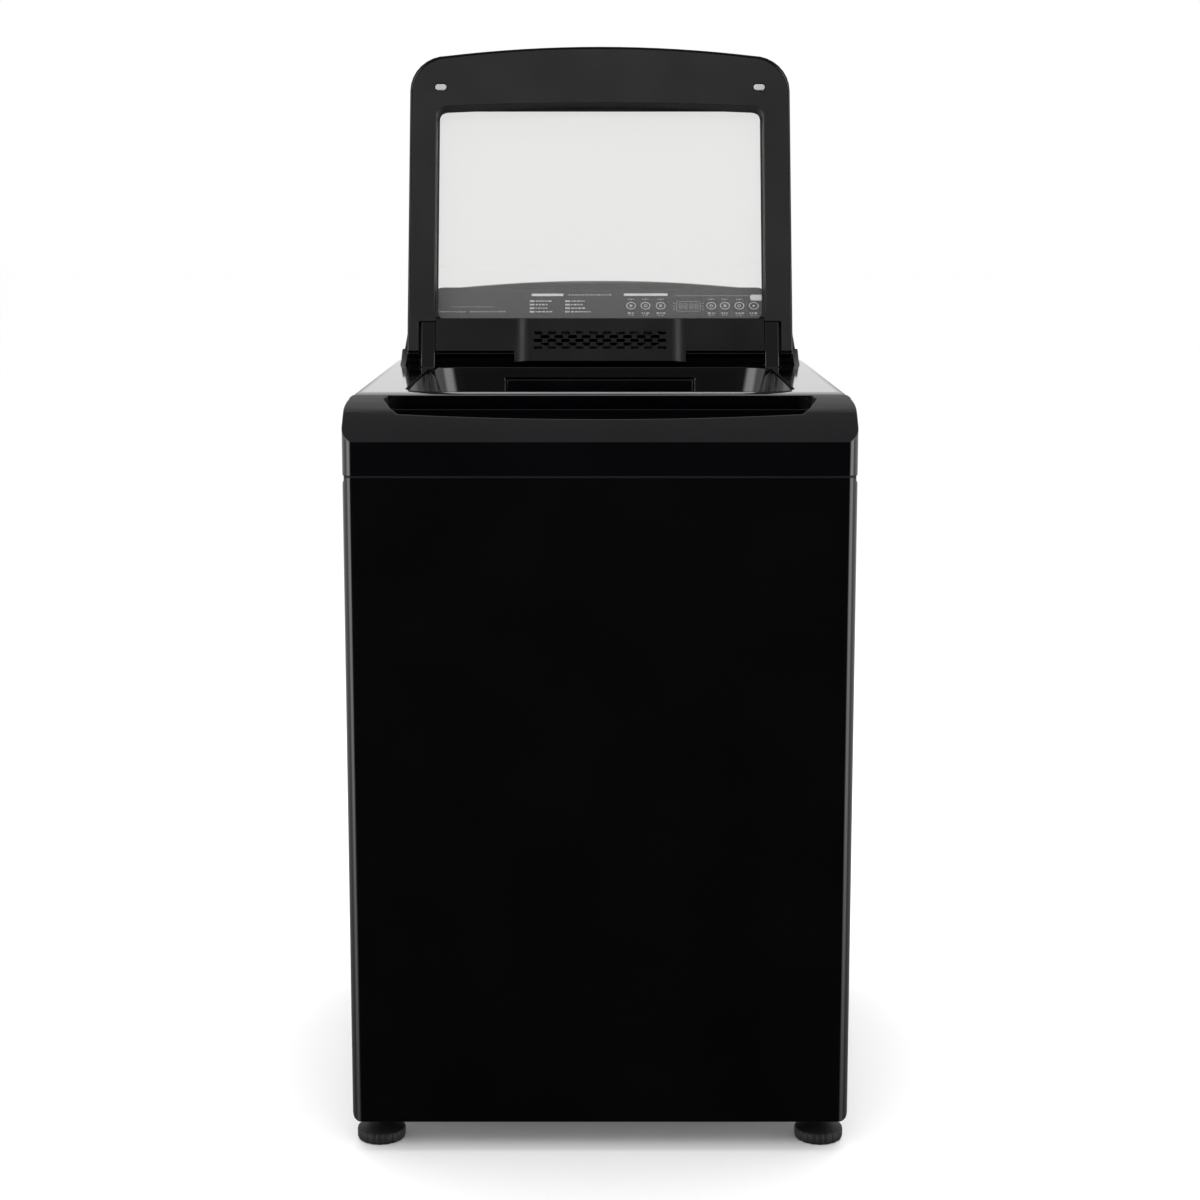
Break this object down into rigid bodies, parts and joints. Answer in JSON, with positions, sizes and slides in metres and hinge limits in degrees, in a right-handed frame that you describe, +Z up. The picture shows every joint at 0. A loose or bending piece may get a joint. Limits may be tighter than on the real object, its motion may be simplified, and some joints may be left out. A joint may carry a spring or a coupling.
{
  "type": "top load washing machine",
  "caption": "Gloss black top load washing machine with an open glass lid, a sloped rear console, a suspended tub, a perforated basket, a pulsator and levelling feet.",
  "frame": {"origin": "centre of the footprint on the floor", "axes": "+Z up, front faces -Y, +X to the right seen from the front"},
  "size_m": [0.59, 0.65, 1.3314],
  "materials": {
    "steel_black": "gloss enamel",
    "galvanised": "spangled zinc",
    "plastic_base": "moulded",
    "gloss_black": "high gloss",
    "satin_black": "fine satin texture",
    "panel_black": "smooth film",
    "display": "tinted window",
    "light_lens": "clear lens",
    "circuit_board": "solder mask",
    "plastic_white": "moulded",
    "steel": "zinc plated",
    "spring_steel": "oiled",
    "plastic_dark": "moulded",
    "hose": "flexible",
    "tinted_glass": "tempered, light grey tint",
    "lid_satin": "fine satin texture",
    "bumper_rubber": "soft",
    "plastic_tub": "moulded",
    "cast_alloy": "cast",
    "rubber": "matt",
    "motor_paint": "coated",
    "stainless": "brushed",
    "plastic_light": "moulded",
    "button": "satin"
  },
  "bodies": {
    "frame": {"cabinet": "steel_black", "back_panel": "galvanised", "base_frame": "plastic_base", "top_cover": "gloss_black", "console_housing": "satin_black", "control_panel": "panel_black", "display_window": "display", "indicator_lights": "light_lens", "control_board": "circuit_board", "dispenser_housing": "plastic_white", "inlet_valve": "plastic_white", "lid_switch": "plastic_white", "hinge_pins": "steel", "rod_seats": "steel", "suspension_rods": "steel", "suspension_springs": "spring_steel", "level_sensor": "plastic_dark", "pressure_tube": "hose", "drain_outlet": "plastic_dark", "drain_hose": "hose", "cable_gland": "plastic_dark", "case_screws": "steel"},
    "lid": {"lid_outer_frame": "gloss_black", "lid_glass": "tinted_glass", "lid_inner_frame": "lid_satin", "lid_rear_panel": "satin_black", "lid_bumpers": "bumper_rubber", "hinge_arms": "satin_black"},
    "tub_unit": {"tub": "plastic_tub", "tub_cover": "plastic_tub", "suspension_cups": "plastic_white", "support_bracket": "galvanised", "clutch_housing": "cast_alloy", "shaft_bearings": "steel", "shaft_seal": "rubber", "motor": "motor_paint", "drive_belt": "rubber", "drain_pump": "plastic_dark"},
    "basket_unit": {"basket": "stainless", "basket_hub": "cast_alloy", "balance_ring": "plastic_light", "spin_shaft": "steel", "lint_filters": "plastic_light"},
    "pulsator_unit": {"pulsator": "plastic_light", "pulsator_cap": "steel", "wash_shaft": "steel", "clutch_pulley": "cast_alloy"},
    "motor_rotor": {"motor_pulley": "cast_alloy"},
    "drawer": {"detergent_drawer": "gloss_black"},
    "foot_front_left": {"foot_front_left": "rubber"},
    "foot_front_right": {"foot_front_right": "rubber"},
    "foot_rear_left": {"foot_rear_left": "rubber"},
    "foot_rear_right": {"foot_rear_right": "rubber"},
    "button_program": {"button_program": "button"},
    "button_water_level": {"button_water_level": "button"},
    "button_temperature": {"button_temperature": "button"},
    "button_delay": {"button_delay": "button"},
    "button_rinse": {"button_rinse": "button"},
    "button_spin": {"button_spin": "button"},
    "button_start": {"button_start": "button"}
  },
  "joints": [
    {"name": "lid_hinge", "type": "hinge", "parent": "frame", "child": "lid", "pos_m": [0, 0.16, 0.888], "axis": [1, 0, 0], "range_deg": [0, 106]},
    {"name": "tub_suspension", "type": "slide", "parent": "frame", "child": "tub_unit", "axis": [0, 0, 1], "range_m": [-0.025, 0.01], "stiffness_N_per_m": 14000, "springref_m": 0.0262, "deforming": ["suspension_springs", "pressure_tube", "drain_hose"]},
    {"name": "basket_spin", "type": "hinge", "parent": "tub_unit", "child": "basket_unit", "pos_m": [0, -0.02, 0.3], "axis": [0, 0, 1], "continuous": true},
    {"name": "pulsator_spin", "type": "hinge", "parent": "tub_unit", "child": "pulsator_unit", "pos_m": [0, -0.02, 0.26], "axis": [0, 0, 1], "continuous": true},
    {"name": "motor_spin", "type": "hinge", "parent": "tub_unit", "child": "motor_rotor", "pos_m": [0.16, -0.02, 0.09], "axis": [0, 0, 1], "continuous": true},
    {"name": "drawer_slide", "type": "slide", "parent": "frame", "child": "drawer", "axis": [0, -1, 0], "range_m": [0, 0.09]},
    {"name": "foot_front_left_screw", "type": "slide", "parent": "frame", "child": "foot_front_left", "axis": [0, 0, 1], "range_m": [-0.012, 0]},
    {"name": "foot_front_right_screw", "type": "slide", "parent": "frame", "child": "foot_front_right", "axis": [0, 0, 1], "range_m": [-0.012, 0]},
    {"name": "foot_rear_left_screw", "type": "slide", "parent": "frame", "child": "foot_rear_left", "axis": [0, 0, 1], "range_m": [-0.012, 0]},
    {"name": "foot_rear_right_screw", "type": "slide", "parent": "frame", "child": "foot_rear_right", "axis": [0, 0, 1], "range_m": [-0.012, 0]},
    {"name": "button_program_press", "type": "slide", "parent": "frame", "child": "button_program", "axis": [0, 0.7193, -0.6947], "range_m": [0, 0.001], "stiffness_N_per_m": 300},
    {"name": "button_water_level_press", "type": "slide", "parent": "frame", "child": "button_water_level", "axis": [0, 0.7193, -0.6947], "range_m": [0, 0.001], "stiffness_N_per_m": 300},
    {"name": "button_temperature_press", "type": "slide", "parent": "frame", "child": "button_temperature", "axis": [0, 0.7193, -0.6947], "range_m": [0, 0.001], "stiffness_N_per_m": 300},
    {"name": "button_delay_press", "type": "slide", "parent": "frame", "child": "button_delay", "axis": [0, 0.7193, -0.6947], "range_m": [0, 0.001], "stiffness_N_per_m": 300},
    {"name": "button_rinse_press", "type": "slide", "parent": "frame", "child": "button_rinse", "axis": [0, 0.7193, -0.6947], "range_m": [0, 0.001], "stiffness_N_per_m": 300},
    {"name": "button_spin_press", "type": "slide", "parent": "frame", "child": "button_spin", "axis": [0, 0.7193, -0.6947], "range_m": [0, 0.001], "stiffness_N_per_m": 300},
    {"name": "button_start_press", "type": "slide", "parent": "frame", "child": "button_start", "axis": [0, 0.7193, -0.6947], "range_m": [0, 0.001], "stiffness_N_per_m": 300}
  ],
  "couplings": [
    {"joint": "motor_spin", "follows": "pulsator_spin", "ratio": 2.7308}
  ]
}
